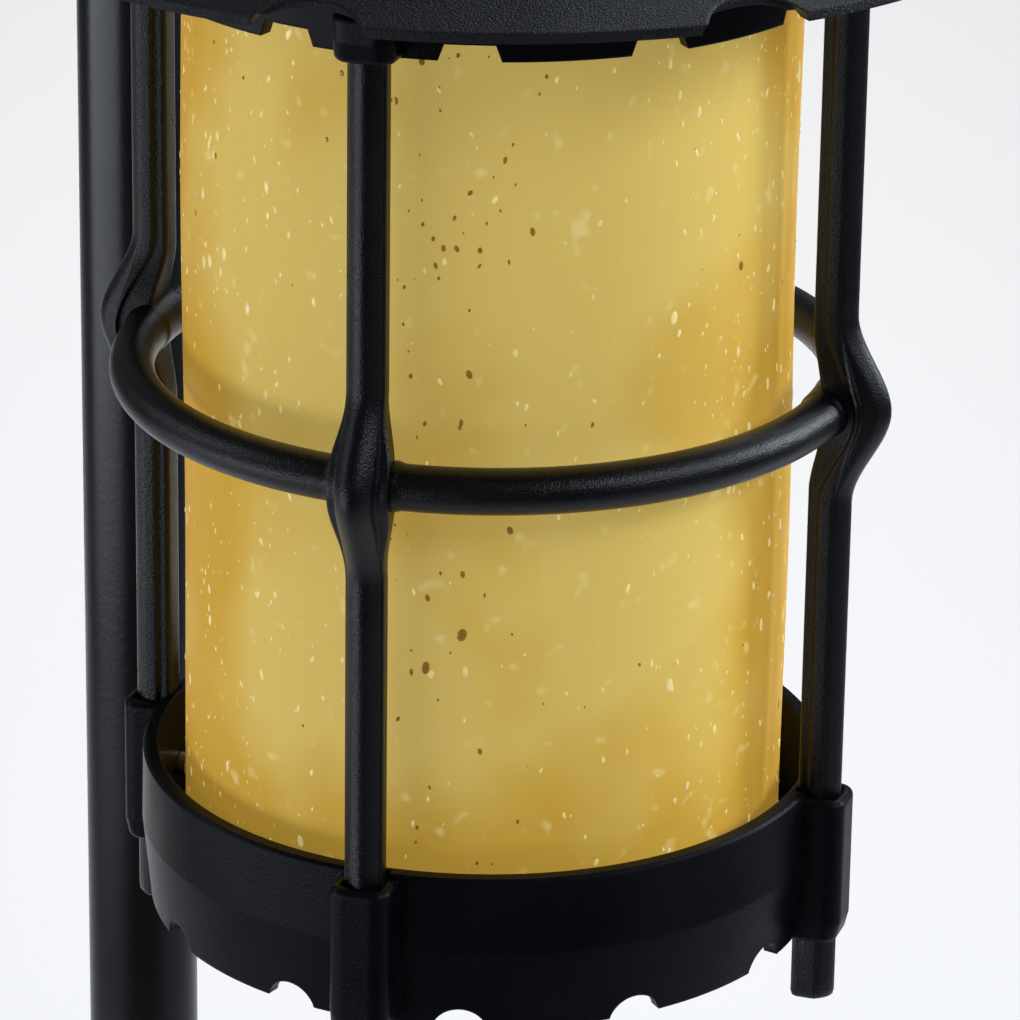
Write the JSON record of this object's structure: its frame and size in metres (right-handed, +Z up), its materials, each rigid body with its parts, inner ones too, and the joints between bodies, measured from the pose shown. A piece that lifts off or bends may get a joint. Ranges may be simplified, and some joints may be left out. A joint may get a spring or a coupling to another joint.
{
  "type": "tiki torch",
  "caption": "Solar tiki torch: caged amber glass lantern under a hipped solar roof, hung by a bail from a crook on a ground stake.",
  "frame": {"origin": "centre of the pole's axis at ground level, on the underside of the stake's foot step", "axes": "+Z up along the pole; +X from the pole towards the hanging lantern; the bail lies in the XZ plane"},
  "size_m": [0.2591, 0.1722, 1.2954],
  "materials": {
    "stake_plastic": "moulded black plastic, fine matte texture",
    "pole_paint": "semi-gloss black powder coat on steel tube",
    "joiner_plastic": "moulded black plastic",
    "black_wire": "black coated steel wire",
    "cage_plastic": "satin black moulded plastic",
    "roof_plastic": "black plastic with a sand texture",
    "amber_glass": "frosted amber glass with seeds",
    "black_rubber": "soft black rubber",
    "screw_steel": "zinc-plated steel",
    "solar_cell": "dark blue cell under clear resin",
    "white_plastic": "white moulded plastic",
    "diffuser_plastic": "frosted warm-white plastic",
    "circuit_board": "green solder mask",
    "led_resin": "amber resin over the diodes",
    "cell_sleeve": "shrink sleeve on a steel can",
    "contact_steel": "nickel-plated spring steel"
  },
  "bodies": {
    "ground_pole": {"ground_stake": "stake_plastic", "lower_pole": "pole_paint", "pole_joiner": "joiner_plastic"},
    "crook": {"crook_tube": "pole_paint", "crook_end_plug": "joiner_plastic", "hanging_hook": "black_wire"},
    "bail": {"bail": "black_wire"},
    "lamp_head": {"roof_shell": "roof_plastic", "module_tray": "cage_plastic", "tray_screws": "screw_steel", "panel_lid": "roof_plastic", "lid_seal": "black_rubber", "lid_screws": "screw_steel", "solar_panel": "solar_cell", "battery_holder": "white_plastic", "battery_cell": "cell_sleeve", "battery_contacts": "contact_steel", "battery_spring": "contact_steel", "control_board": "circuit_board", "board_parts": "joiner_plastic", "led_column": "white_plastic", "column_screws": "screw_steel", "led_sheet": "circuit_board", "led_emitters": "led_resin", "flame_diffuser": "diffuser_plastic", "switch_body": "white_plastic"},
    "cage": {"base_ring": "cage_plastic", "base_floor": "cage_plastic", "floor_screws": "screw_steel", "top_ring": "cage_plastic", "bar_screws": "screw_steel", "guard_hoop": "cage_plastic", "cage_bar_1": "cage_plastic", "cage_bar_2": "cage_plastic", "cage_bar_3": "cage_plastic", "cage_bar_4": "cage_plastic", "seeded_glass": "amber_glass", "glass_seat_ring": "black_rubber", "glass_top_ring": "black_rubber"},
    "button": {"power_button": "black_rubber"}
  },
  "joints": [
    {"name": "crook_swivel", "type": "hinge", "parent": "ground_pole", "child": "crook", "pos_m": [0, 0, 0.562], "axis": [0, 0, 1], "continuous": true},
    {"name": "bail_swing", "type": "hinge", "parent": "crook", "child": "bail", "pos_m": [0.146, 0, 0.97365], "axis": [1, 0, 0], "range_deg": [-25, 25]},
    {"name": "head_tilt", "type": "hinge", "parent": "bail", "child": "lamp_head", "pos_m": [0.146, 0, 0.91565], "axis": [1, 0, 0], "range_deg": [-70, 70]},
    {"name": "cage_twist", "type": "hinge", "parent": "lamp_head", "child": "cage", "pos_m": [0.146, 0, 0.89165], "axis": [0, 0, 1], "range_deg": [0, 20]},
    {"name": "button_press", "type": "slide", "parent": "lamp_head", "child": "button", "axis": [0, 0, 1], "range_m": [0, 0.0015], "stiffness_N_per_m": 300}
  ]
}
